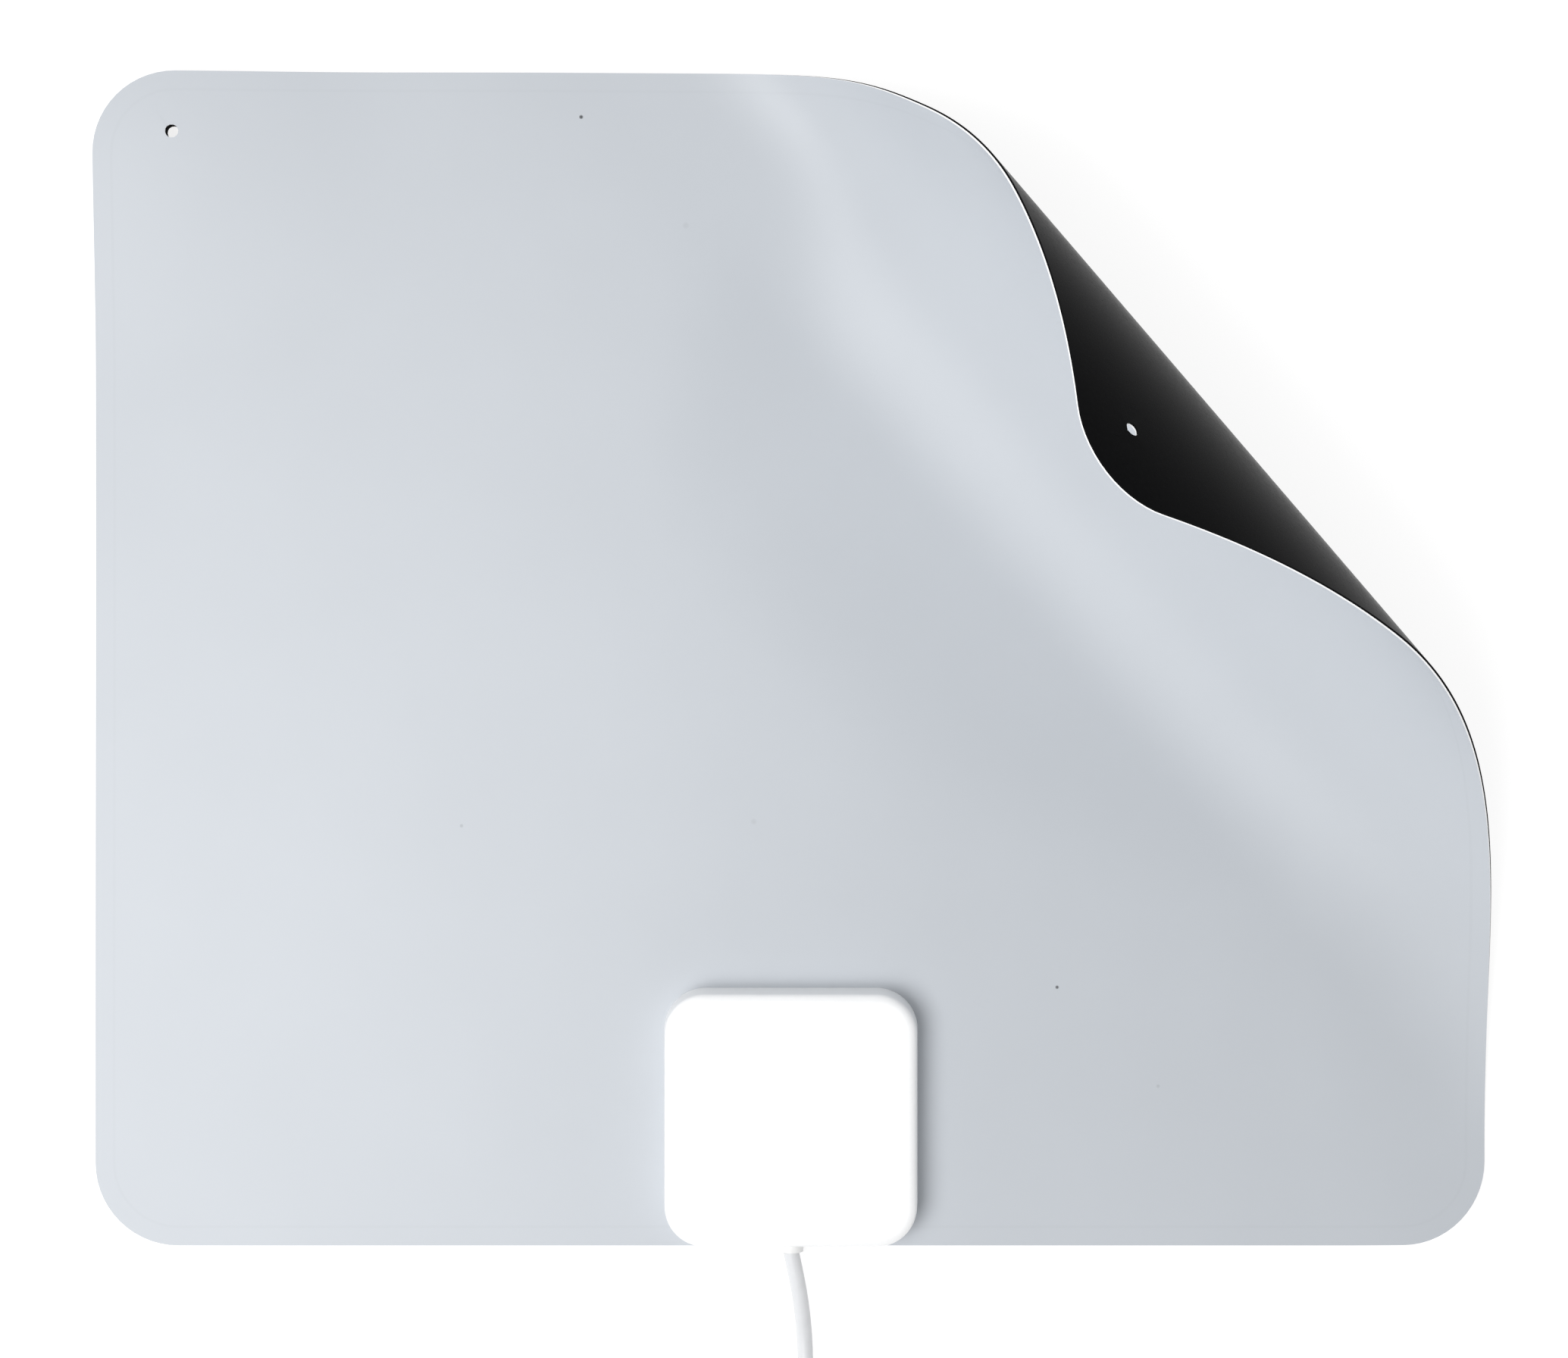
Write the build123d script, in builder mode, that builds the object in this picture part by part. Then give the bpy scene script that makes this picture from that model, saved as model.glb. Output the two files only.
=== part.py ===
from build123d import *
import math
import os

os.makedirs("parts", exist_ok=True)

# Film sheet, a white and a black film laminated face to face
film_width = 336.0
film_height = 283.4
film_corner_radius = 20.0
front_film_thickness = 0.35
back_film_thickness = 0.45
pin_hole_radius = 1.6
pin_hole_from_side = 19.0
pin_hole_from_top = 14.5

# Rolled corner: three tangent arcs that turn about one line across the sheet
roll_heading = 40.6
bend_above_corner = 2.4
lead_radius = 70.0
lead_angle = 18.5
roll_radius = 53.6
roll_angle = 89.5
tip_radius = 112.4
roll_skew = 0.06
roll_sections = 16
trim_band = 5.0

# Antenna element, a bow tie of two foil arms between the films
foil_thickness = 0.08
foil_gap = 10.0
foil_reach = 115.0
foil_neck = 12.0
foil_flare = 66.0
foil_corner_radius = 4.0
foil_clearance = 0.1
feed_above_middle = 11.0

# Housing covers
cover_side = 61.2
cover_height = 9.2
cover_corner_radius = 10.0
cover_draft = 3.0
cover_edge_radius = 2.0
cover_wall = 1.8
cover_inset = 1.1
rear_cover_thickness = 2.4
rear_edge_radius = 1.0
fit_clearance = 0.05

# Cover screws
screw_spacing = 43.0
screw_radius = 1.0
screw_grip = 7.4
screw_head_radius = 1.9
screw_head_height = 1.2
screw_seat_depth = 1.3
screw_hole_clearance = 0.2
screw_slot_width = 0.5
screw_slot_depth = 0.6
boss_radius = 2.8
boss_bore_spare = 0.4

# Circuit board and what is on it
board_width = 36.0
board_length = 24.0
board_thickness = 1.0
board_pin_spacing = 28.0
board_pin_radius = 1.0
board_pin_spare = 0.6
board_post_radius = 2.0
balun_width = 7.0
balun_length = 6.0
balun_height = 3.2
balun_hole_radius = 0.75
balun_hole_spacing = 3.4
winding_wire = 0.3
winding_turns = 3
winding_overhang = 0.5

# Spring contacts
contact_from_middle = 10.0
contact_width = 4.0
contact_run = 4.5
contact_thickness = 0.25
contact_bend = 0.5
window_margin = 1.0

# Coax lead and its grommet
cable_diameter = 3.8
grommet_radius = 3.0
grommet_lift = 0.1
grommet_reach = 1.6
grommet_flange_radius = 4.2
grommet_flange_thickness = 1.5
jacket_inside = 10.0
dielectric_diameter = 2.4
dielectric_length = 5.0
conductor_diameter = 0.7
conductor_length = 8.0
braid_diameter = 1.1

# Put-away coil of the lead, and its tie
coil_x = 31.1
coil_y = -206.0
coil_mean_radius = 22.0
coil_columns = 4
coil_layers = 4
coil_corner_radius = 0.95
coil_stub = 17.0
coil_stub_ease = 0.1
tie_angle = 40.0
tie_width = 5.0
tie_thickness = 0.8
tie_clearance = 0.3

# Threaded coax plug on the far end
plug_x = 91.0
plug_y = -232.0
plug_z = 6.4
boot_length = 14.0
boot_rear_radius = 2.9
boot_front_radius = 4.6
barrel_length = 6.0
barrel_radius = 3.2
neck_radius = 3.0
body_bore_radius = 2.3
flange_radius = 4.1
flange_thickness = 1.2
nut_across_flats = 11.0
nut_length = 10.0
nut_bore_radius = 4.4
nut_lip = 1.6
nut_gap = 0.1
nut_edge = 0.6
pin_past_nut = 2.5

# Levels, from the surface that the antenna lies on
film_bottom = rear_cover_thickness
film_joint = film_bottom + back_film_thickness
film_top = film_joint + front_film_thickness
cover_ceiling = film_top + cover_height - cover_wall
cable_radius = cable_diameter / 2
cable_level = film_top + grommet_radius + grommet_lift
board_top = cable_level - conductor_diameter / 2
board_bottom = board_top - board_thickness

# Places along Y
film_edge_y = -film_height / 2
cover_y = film_edge_y + cover_inset + cover_side / 2
wall_y = cover_y - cover_side / 2
feed_y = cover_y + feed_above_middle
board_y = feed_y - board_length / 6
grommet_face_y = wall_y - grommet_reach
jacket_end_y = wall_y + jacket_inside
dielectric_end_y = jacket_end_y + dielectric_length

# Directions on the flat sheet: along the roll's travel, and along its axis
travel_dir = Vector(math.cos(math.radians(roll_heading)), math.sin(math.radians(roll_heading)), 0)
axis_dir = Vector(travel_dir.Y, -travel_dir.X, 0)
bend_corner = Vector(film_width / 2, film_edge_y + film_corner_radius + bend_above_corner, 0)
bend_start = travel_dir.dot(bend_corner)

# The rounded corner that is rolled up, and how far the roll runs
tip_centre = Vector(film_width / 2 - film_corner_radius, film_height / 2 - film_corner_radius, 0)
tip_travel = travel_dir.dot(tip_centre) + film_corner_radius - bend_start
tip_spare = 1.0
lead_length = lead_radius * math.radians(lead_angle)
roll_length = roll_radius * math.radians(roll_angle)
tip_angle = math.degrees((tip_travel + 2 * tip_spare - lead_length - roll_length) / tip_radius)
roll_arcs = [(lead_radius, lead_angle), (roll_radius, roll_angle), (tip_radius, tip_angle)]

screw_places = [
    (side * screw_spacing / 2, cover_y + end * screw_spacing / 2)
    for side in (-1, 1)
    for end in (-1, 1)
]
print("bend starts", round(bend_start, 3), "tip angle", round(tip_angle, 3))


# Where the roll is after a length of film past the bend line: across, height and turn in radians
def roll_station(travel):
    across = bend_start
    height = 0.0
    turn = 0.0
    left = travel
    for radius, angle in roll_arcs:
        step = min(left, radius * math.radians(angle))
        after = turn + step / radius
        across += radius * (math.sin(after) - math.sin(turn))
        height += radius * (math.cos(turn) - math.cos(after))
        turn = after
        left -= step
    return across, height, turn


# The plane that touches the film joint at a point of the flat sheet, facing out of the white side
def film_plane(x, y):
    flat = Vector(x, y, 0)
    along = axis_dir.dot(flat)
    travel = travel_dir.dot(flat) - bend_start
    if travel <= 0:
        return Plane(origin=(x, y, film_joint), x_dir=axis_dir, z_dir=(0, 0, 1))
    across, height, turn = roll_station(travel)
    spot = travel_dir * across + axis_dir * (along + roll_skew * height)
    facing = travel_dir * -math.sin(turn) + Vector(0, 0, math.cos(turn))
    return Plane(origin=spot + Vector(0, 0, film_joint + height), x_dir=axis_dir, z_dir=facing)


# Where the sheet's top edge and right edge lie along the roll axis, at a travel past the bend line
def edges_along(travel):
    reach = bend_start + travel
    top_x = (reach - film_height / 2 * travel_dir.Y) / travel_dir.X
    right_y = (reach - film_width / 2 * travel_dir.X) / travel_dir.Y
    top_edge = axis_dir.dot(Vector(top_x, film_height / 2, 0))
    right_edge = axis_dir.dot(Vector(film_width / 2, right_y, 0))
    return top_edge, right_edge


roll_plane = Plane(origin=(0, 0, film_joint), x_dir=travel_dir, z_dir=axis_dir)
bend_plane = Plane(origin=travel_dir * bend_start, z_dir=travel_dir)

# The rolled part of the sheet's outline, as a thick band that trims both films to the same edges
with BuildPart() as roll_outline:
    for index in range(roll_sections + 1):
        travel = (tip_travel + tip_spare) * index / roll_sections
        across, height, turn = roll_station(travel)
        top_edge, right_edge = edges_along(travel)
        middle = (top_edge + right_edge) / 2 + roll_skew * height
        spot = travel_dir * across + axis_dir * middle + Vector(0, 0, film_joint + height)
        heading = travel_dir * math.cos(turn) + Vector(0, 0, math.sin(turn))
        with BuildSketch(Plane(origin=spot, x_dir=axis_dir, z_dir=heading)):
            Rectangle(right_edge - top_edge, trim_band)
    loft()
    # The rounded corner is cut on the plane that touches the film at the tip
    tip_spot = tip_centre + travel_dir * (film_corner_radius * 0.85)
    tip_plane = film_plane(tip_spot.X, tip_spot.Y)
    with BuildSketch(tip_plane):
        with Locations(Location((0, -film_corner_radius * 0.85, 0), (0, 0, 90 - roll_heading))):
            Rectangle(film_corner_radius * 1.4, film_corner_radius * 1.4, align=(Align.MIN, Align.MIN))
            Circle(film_corner_radius, mode=Mode.SUBTRACT)
    extrude(amount=trim_band, both=True, mode=Mode.SUBTRACT)


# The curled corner of one film, between two offsets from the film joint
def rolled_corner(low, high):
    with BuildPart() as corner:
        with BuildSketch(roll_plane):
            with BuildLine():
                tips = []
                for inset in (low, high):
                    lead = JernArc((bend_start, inset), (1, 0), lead_radius - inset, lead_angle)
                    roll = JernArc(lead @ 1, lead % 1, roll_radius - inset, roll_angle)
                    tip = JernArc(roll @ 1, roll % 1, tip_radius - inset, tip_angle)
                    tips.append(tip @ 1)
                Line((bend_start, low), (bend_start, high))
                Line(tips[0], tips[1])
            make_face()
        extrude(amount=film_width, both=True)
        add(roll_outline.part, mode=Mode.INTERSECT)
    return corner.part


# One film of the sheet: flat up to the bend line, then rolled, with its pin and screw holes
def film_sheet(low, high):
    with BuildPart() as sheet:
        with BuildSketch(Plane.XY.offset(film_joint + low)):
            RectangleRounded(film_width, film_height, film_corner_radius)
        extrude(amount=high - low)
        split(bisect_by=bend_plane, keep=Keep.BOTTOM)
        add(rolled_corner(low, high))
        for side in (-1, 1):
            hole_x = side * (film_width / 2 - pin_hole_from_side)
            hole_y = film_height / 2 - pin_hole_from_top
            with Locations(film_plane(hole_x, hole_y)):
                Cylinder(pin_hole_radius, trim_band, mode=Mode.SUBTRACT)
        with Locations(*[(x, y, film_joint) for x, y in screw_places]):
            Cylinder(screw_radius + screw_hole_clearance, trim_band, mode=Mode.SUBTRACT)
    return sheet.part


# One arm of the bow tie, on the side given by its sign, grown by a clearance
def foil_arm(side, grow):
    with BuildSketch(Plane.XY.offset(film_joint - foil_thickness)) as arm:
        with BuildLine():
            Polyline(
                (side * foil_gap / 2, feed_y - foil_neck / 2),
                (side * foil_reach, feed_y - foil_flare / 2),
                (side * foil_reach, feed_y + foil_flare / 2),
                (side * foil_gap / 2, feed_y + foil_neck / 2),
                close=True,
            )
        make_face()
        fillet(arm.vertices(), radius=foil_corner_radius)
        if grow:
            offset(amount=grow)
        with Locations(*screw_places):
            Circle(screw_radius + screw_hole_clearance + foil_clearance - grow, mode=Mode.SUBTRACT)
    return arm.sketch


# Black reverse film, with shallow beds for the foil arms
with BuildPart() as back_film:
    add(film_sheet(-back_film_thickness, 0))
    for side in (-1, 1):
        extrude(foil_arm(side, foil_clearance), amount=foil_thickness, mode=Mode.SUBTRACT)
back_film.part.label = "back_film"
export_step(back_film.part, "parts/back_film.step")

# White face film, with a window over each foil arm for its contact
with BuildPart() as front_film:
    add(film_sheet(0, front_film_thickness))
    with BuildSketch(Plane.XY.offset(film_joint)):
        for side in (-1, 1):
            with Locations((side * contact_from_middle, feed_y)):
                Rectangle(contact_run + 2 * window_margin, contact_width + 2 * window_margin)
    extrude(amount=front_film_thickness, mode=Mode.SUBTRACT)
front_film.part.label = "front_film"
export_step(front_film.part, "parts/front_film.step")

# Foil arms
with BuildPart() as left_antenna_foil:
    extrude(foil_arm(-1, 0), amount=foil_thickness)
left_antenna_foil.part.label = "left_antenna_foil"
export_step(left_antenna_foil.part, "parts/left_antenna_foil.step")

with BuildPart() as right_antenna_foil:
    extrude(foil_arm(1, 0), amount=foil_thickness)
right_antenna_foil.part.label = "right_antenna_foil"
export_step(right_antenna_foil.part, "parts/right_antenna_foil.step")

# White front cover: a drafted shell with screw bosses, board posts and a notch for the grommet
cover_plane = Plane(origin=(0, cover_y, film_top))
with BuildPart() as front_cover:
    with BuildSketch(cover_plane):
        RectangleRounded(cover_side, cover_side, cover_corner_radius)
    extrude(amount=cover_height, taper=cover_draft)
    fillet(front_cover.faces().sort_by(Axis.Z)[-1].edges(), radius=cover_edge_radius)
    inner_side = cover_side - 2 * cover_wall
    with BuildSketch(cover_plane):
        RectangleRounded(inner_side, inner_side, cover_corner_radius - cover_wall)
    extrude(amount=cover_height - cover_wall, taper=cover_draft, mode=Mode.SUBTRACT)
    # Screw bosses
    with BuildSketch(Plane.XY.offset(film_top)):
        with Locations(*screw_places):
            Circle(boss_radius)
    extrude(amount=cover_height - cover_wall)
    with BuildSketch(Plane.XY.offset(film_top)):
        with Locations(*screw_places):
            Circle(screw_radius + fit_clearance)
    bore_depth = screw_seat_depth + screw_grip + boss_bore_spare - film_top
    extrude(amount=bore_depth, mode=Mode.SUBTRACT)
    # Posts that carry the board, each with a pin through it
    with BuildSketch(Plane.XY.offset(board_top)):
        with Locations((0, board_y)):
            with GridLocations(board_pin_spacing, 0, 2, 1):
                Circle(board_post_radius)
    extrude(amount=cover_ceiling - board_top)
    with BuildSketch(Plane.XY.offset(board_bottom - board_pin_spare)):
        with Locations((0, board_y)):
            with GridLocations(board_pin_spacing, 0, 2, 1):
                Circle(board_pin_radius)
    extrude(amount=board_top - board_bottom + board_pin_spare)
    # Notch for the grommet, open at the rim
    with BuildSketch(Plane(origin=(0, wall_y, cable_level), x_dir=(1, 0, 0), z_dir=(0, -1, 0))):
        Circle(grommet_radius + fit_clearance)
        Rectangle(
            2 * (grommet_radius + fit_clearance),
            cable_level - film_top,
            align=(Align.CENTER, Align.MAX),
        )
    extrude(amount=2 * cover_wall, both=True, mode=Mode.SUBTRACT)
front_cover.part.label = "front_cover"
export_step(front_cover.part, "parts/front_cover.step")

# Black rear cover: a thin plate with eased edges and seats for the screw heads
with BuildPart() as rear_cover:
    with BuildSketch(Plane(origin=(0, cover_y, 0))):
        RectangleRounded(cover_side, cover_side, cover_corner_radius)
    extrude(amount=rear_cover_thickness)
    fillet(rear_cover.faces().sort_by(Axis.Z)[0].edges(), radius=rear_edge_radius)
    rear_seat = Plane(origin=(0, 0, 0), x_dir=(1, 0, 0), z_dir=(0, 0, -1))
    with Locations(*[rear_seat * Pos(x, -y, 0) for x, y in screw_places]):
        CounterBoreHole(
            screw_radius + screw_hole_clearance,
            screw_head_radius + screw_hole_clearance,
            screw_seat_depth,
        )
rear_cover.part.label = "rear_cover"
export_step(rear_cover.part, "parts/rear_cover.step")

# Cover screws, heads in the rear cover and ends in the bosses
with BuildPart() as cover_screws:
    with BuildSketch(Plane.XY.offset(screw_seat_depth)):
        with Locations(*screw_places):
            Circle(screw_radius)
    extrude(amount=screw_grip)
    with BuildSketch(Plane.XY.offset(screw_seat_depth)):
        with Locations(*screw_places):
            Circle(screw_head_radius)
    extrude(amount=-screw_head_height)
    with BuildSketch(Plane.XY.offset(screw_seat_depth - screw_head_height)):
        with Locations(*screw_places):
            Rectangle(1.2 * screw_head_radius, screw_slot_width)
            Rectangle(screw_slot_width, 1.2 * screw_head_radius)
    extrude(amount=screw_slot_depth, mode=Mode.SUBTRACT)
cover_screws.part.label = "cover_screws"
export_step(cover_screws.part, "parts/cover_screws.step")

# Matching board
with BuildPart() as circuit_board:
    with BuildSketch(Plane(origin=(0, board_y, board_bottom))):
        Rectangle(board_width, board_length)
        with GridLocations(board_pin_spacing, 0, 2, 1):
            Circle(board_pin_radius + fit_clearance, mode=Mode.SUBTRACT)
    extrude(amount=board_thickness)
circuit_board.part.label = "circuit_board"
export_step(circuit_board.part, "parts/circuit_board.step")

# Ferrite core with two holes, and the wire turns through them
balun_y = feed_y
balun_axis_z = board_top + balun_height / 2
with BuildPart() as balun_core:
    core_plane = Plane(origin=(0, balun_y, balun_axis_z), x_dir=(1, 0, 0), z_dir=(0, -1, 0))
    with BuildSketch(core_plane):
        SlotOverall(balun_width, balun_height)
        with GridLocations(balun_hole_spacing, 0, 2, 1):
            Circle(balun_hole_radius, mode=Mode.SUBTRACT)
    extrude(amount=balun_length / 2, both=True)
balun_core.part.label = "balun_core"
export_step(balun_core.part, "parts/balun_core.step")

with BuildPart() as balun_windings:
    for turn in range(winding_turns):
        level = balun_axis_z + (turn - (winding_turns - 1) / 2) * winding_wire * 1.3 - winding_wire / 2
        loop_length = balun_length + 2 * (winding_overhang + winding_wire)
        with BuildSketch(Plane(origin=(0, balun_y, level))):
            SlotOverall(loop_length, balun_hole_spacing + winding_wire, rotation=90)
            SlotOverall(
                loop_length - 2 * winding_wire,
                balun_hole_spacing - winding_wire,
                rotation=90,
                mode=Mode.SUBTRACT,
            )
        extrude(amount=winding_wire)
balun_windings.part.label = "balun_windings"
export_step(balun_windings.part, "parts/balun_windings.step")


# A folded spring strip from the foil up to the underside of the board
def spring_contact(side):
    with BuildPart() as contact:
        foot = Plane(origin=(side * contact_from_middle, feed_y, 0), x_dir=(side, 0, 0), z_dir=(0, -side, 0))
        with BuildSketch(foot):
            with BuildLine():
                FilletPolyline(
                    (-contact_run / 2, film_joint),
                    (contact_run / 2, film_joint),
                    (-contact_run / 2, board_bottom - contact_thickness),
                    (contact_run / 2, board_bottom - contact_thickness),
                    radius=contact_bend,
                )
                offset(amount=contact_thickness, side=Side.LEFT)
            make_face()
        extrude(amount=contact_width / 2, both=True)
    return contact.part


with BuildPart() as left_contact:
    add(spring_contact(-1))
left_contact.part.label = "left_contact"
export_step(left_contact.part, "parts/left_contact.step")

with BuildPart() as right_contact:
    add(spring_contact(1))
right_contact.part.label = "right_contact"
export_step(right_contact.part, "parts/right_contact.step")

# Grommet in the wall notch, with a flange inside that stands on the film
cable_plane = Plane(origin=(0, grommet_face_y, cable_level), x_dir=(1, 0, 0), z_dir=(0, 1, 0))
with BuildPart() as cable_grommet:
    flange_top = cable_level + grommet_flange_radius - film_top
    wall_lean = flange_top * math.tan(math.radians(cover_draft))
    flange_start = grommet_reach + cover_wall + wall_lean + fit_clearance
    with BuildSketch(cable_plane):
        Circle(grommet_radius)
    extrude(amount=flange_start + grommet_flange_thickness)
    with BuildSketch(cable_plane.offset(flange_start)):
        Circle(grommet_flange_radius)
        with Locations((0, cable_level - film_top)):
            Rectangle(
                2 * grommet_flange_radius,
                grommet_flange_radius,
                align=(Align.CENTER, Align.MIN),
                mode=Mode.SUBTRACT,
            )
    extrude(amount=grommet_flange_thickness)
    with BuildSketch(cable_plane):
        Circle(cable_radius + fit_clearance)
    extrude(amount=flange_start + grommet_flange_thickness, mode=Mode.SUBTRACT)
cable_grommet.part.label = "cable_grommet"
export_step(cable_grommet.part, "parts/cable_grommet.step")

# The lead's end inside the housing, stripped in steps
with BuildPart() as coax_end:
    with BuildSketch(cable_plane):
        Circle(cable_radius)
    extrude(amount=jacket_end_y - grommet_face_y)
coax_end.part.label = "coax_end"
export_step(coax_end.part, "parts/coax_end.step")

with BuildPart() as coax_dielectric:
    with BuildSketch(Plane(origin=(0, jacket_end_y, cable_level), x_dir=(1, 0, 0), z_dir=(0, 1, 0))):
        Circle(dielectric_diameter / 2)
    extrude(amount=dielectric_length)
coax_dielectric.part.label = "coax_dielectric"
export_step(coax_dielectric.part, "parts/coax_dielectric.step")

with BuildPart() as coax_conductor:
    with BuildSketch(Plane(origin=(0, dielectric_end_y, cable_level), x_dir=(1, 0, 0), z_dir=(0, 1, 0))):
        Circle(conductor_diameter / 2)
    extrude(amount=conductor_length)
coax_conductor.part.label = "coax_conductor"
export_step(coax_conductor.part, "parts/coax_conductor.step")

# Braid, twisted to one strand beside the dielectric and bent down to the board
braid_x = dielectric_diameter / 2 + braid_diameter / 2 + fit_clearance
with BuildPart() as braid_tail:
    with BuildLine() as braid_path:
        FilletPolyline(
            (braid_x, jacket_end_y, cable_level),
            (braid_x, jacket_end_y + dielectric_length / 2, cable_level),
            (braid_x + dielectric_diameter, dielectric_end_y, board_top + braid_diameter / 2),
            (braid_x + dielectric_diameter, dielectric_end_y + conductor_length, board_top + braid_diameter / 2),
            radius=braid_diameter,
        )
    with BuildSketch(Plane(origin=(braid_x, jacket_end_y, cable_level), x_dir=(1, 0, 0), z_dir=(0, 1, 0))):
        Circle(braid_diameter / 2)
    sweep()
braid_tail.part.label = "braid_tail"
export_step(braid_tail.part, "parts/braid_tail.step")

# Coil levels: the outer turn of the lowest layer comes in, that of the top layer goes out
coil_base = tie_thickness + tie_clearance
coil_outer_turn = coil_mean_radius + (coil_columns - 1) / 2 * cable_diameter
coil_in_z = coil_base + cable_radius
coil_out_z = coil_base + coil_layers * cable_diameter - cable_radius
coil_in_end = (coil_x - coil_outer_turn, coil_y + coil_stub, coil_in_z)
coil_out_end = (coil_x + coil_stub, coil_y - coil_outer_turn, coil_out_z)

# Route of the lead from the grommet to the coil, and from the coil to the plug
lead_route = [
    (0.0, grommet_face_y, cable_level),
    (1.5, -149.2, 5.7),
    (2.7, -157.0, 4.0),
    (3.5, -166.5, 2.4),
    (coil_in_end[0], coil_in_end[1] + 11.5, coil_in_z),
    coil_in_end,
]
plug_route = [
    coil_out_end,
    (coil_out_end[0] + 9.5, coil_out_end[1], coil_out_z),
    (69.0, -232.8, 9.4),
    (plug_x - 10.0, plug_y, plug_z),
    (plug_x, plug_y, plug_z),
]


# The largest arc that the two runs at each corner of a route leave room for
def route_radii(route):
    points = [Vector(*p) for p in route]
    radii = []
    for before, corner, after in zip(points, points[1:], points[2:]):
        run_in = corner - before
        run_out = after - corner
        half_turn = math.radians(run_in.get_angle(run_out)) / 2
        radii.append(0.45 * min(run_in.length, run_out.length) / math.tan(half_turn))
    return radii


# A tube along a route, checked against its section times its length
def lead_tube(route):
    radii = route_radii(route)
    with BuildPart() as tube:
        with BuildLine() as path:
            FilletPolyline(*route, radius=radii)
        with BuildSketch(Plane(origin=path.line @ 0, z_dir=path.line % 0)):
            Circle(cable_radius)
        sweep()
    length = sum(edge.length for edge in path.edges())
    print("tube length", round(length, 2), "radii", [round(r, 1) for r in radii])
    print("volume", round(tube.part.volume, 2), "of", round(math.pi * cable_radius**2 * length, 2))
    return tube.part


with BuildPart() as coax_cable:
    add(lead_tube(lead_route))
coax_cable.part.label = "coax_cable"
export_step(coax_cable.part, "parts/coax_cable.step")

with BuildPart() as plug_lead:
    add(lead_tube(plug_route))
plug_lead.part.label = "plug_lead"
export_step(plug_lead.part, "parts/plug_lead.step")

# The coil's outer shape, with the straight ends of its first and last turns
coil_plane = Plane(origin=(coil_x, coil_y, 0), x_dir=(1, 0, 0), z_dir=(0, -1, 0))
coil_width = coil_columns * cable_diameter
coil_height = coil_layers * cable_diameter
with BuildPart() as cable_coil:
    with BuildSketch(coil_plane):
        with Locations((coil_mean_radius, coil_base + coil_height / 2)):
            RectangleRounded(coil_width, coil_height, coil_corner_radius)
    revolve(axis=Axis((coil_x, coil_y, 0), (0, 0, 1)))
    with BuildSketch(Plane(origin=coil_in_end, x_dir=(1, 0, 0), z_dir=(0, -1, 0))):
        Circle(cable_radius - coil_stub_ease)
    extrude(amount=coil_stub)
    with BuildSketch(Plane(origin=coil_out_end, x_dir=(0, 1, 0), z_dir=(-1, 0, 0))):
        Circle(cable_radius - coil_stub_ease)
    extrude(amount=coil_stub)
cable_coil.part.label = "cable_coil"
export_step(cable_coil.part, "parts/cable_coil.step")

# Tie round the coil's turns
tie_dir = Vector(math.cos(math.radians(tie_angle)), math.sin(math.radians(tie_angle)), 0)
tie_plane = Plane(origin=(coil_x, coil_y, 0), x_dir=tie_dir, z_dir=(tie_dir.Y, -tie_dir.X, 0))
with BuildPart() as coil_tie:
    with BuildSketch(tie_plane):
        with Locations((coil_mean_radius, coil_base + coil_height / 2)):
            tie_room = 2 * tie_clearance
            tie_wall = 2 * tie_thickness
            RectangleRounded(
                coil_width + tie_room + tie_wall,
                coil_height + tie_room + tie_wall,
                coil_corner_radius + tie_thickness,
            )
            RectangleRounded(
                coil_width + tie_room,
                coil_height + tie_room,
                coil_corner_radius,
                mode=Mode.SUBTRACT,
            )
    extrude(amount=tie_width / 2, both=True)
coil_tie.part.label = "coil_tie"
export_step(coil_tie.part, "parts/coil_tie.step")

# Plug pieces, turned about one axis
plug_plane = Plane(origin=(plug_x, plug_y, plug_z), x_dir=(1, 0, 0), z_dir=(0, -1, 0))
plug_axis = Axis((plug_x, plug_y, plug_z), (1, 0, 0))
barrel_start = boot_length - barrel_length
nut_start = boot_length + nut_gap
flange_start = nut_start + nut_lip + nut_gap
body_end = flange_start + flange_thickness
nut_end = nut_start + nut_length

with BuildPart() as plug_boot:
    with BuildSketch(plug_plane):
        with BuildLine():
            Polyline(
                (0, 0),
                (0, boot_rear_radius),
                (boot_length, boot_front_radius),
                (boot_length, barrel_radius + fit_clearance),
                (barrel_start, barrel_radius + fit_clearance),
                (barrel_start, 0),
                close=True,
            )
        make_face()
    revolve(axis=plug_axis)
plug_boot.part.label = "plug_boot"
export_step(plug_boot.part, "parts/plug_boot.step")

with BuildPart() as plug_body:
    with BuildSketch(plug_plane):
        with BuildLine():
            Polyline(
                (barrel_start, body_bore_radius),
                (barrel_start, barrel_radius),
                (boot_length, barrel_radius),
                (boot_length, neck_radius),
                (flange_start, neck_radius),
                (flange_start, flange_radius),
                (body_end, flange_radius),
                (body_end, body_bore_radius),
                close=True,
            )
        make_face()
    revolve(axis=plug_axis)
plug_body.part.label = "plug_body"
export_step(plug_body.part, "parts/plug_body.step")

with BuildPart() as plug_insulator:
    with BuildSketch(plug_plane):
        with BuildLine():
            Polyline(
                (barrel_start, conductor_diameter / 2 + fit_clearance),
                (barrel_start, body_bore_radius - fit_clearance),
                (body_end, body_bore_radius - fit_clearance),
                (body_end, conductor_diameter / 2 + fit_clearance),
                close=True,
            )
        make_face()
    revolve(axis=plug_axis)
plug_insulator.part.label = "plug_insulator"
export_step(plug_insulator.part, "parts/plug_insulator.step")

with BuildPart() as plug_pin:
    with BuildSketch(Plane(origin=(plug_x + barrel_start, plug_y, plug_z), z_dir=(1, 0, 0))):
        Circle(conductor_diameter / 2)
    extrude(amount=nut_end + pin_past_nut - barrel_start)
plug_pin.part.label = "plug_pin"
export_step(plug_pin.part, "parts/plug_pin.step")

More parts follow.
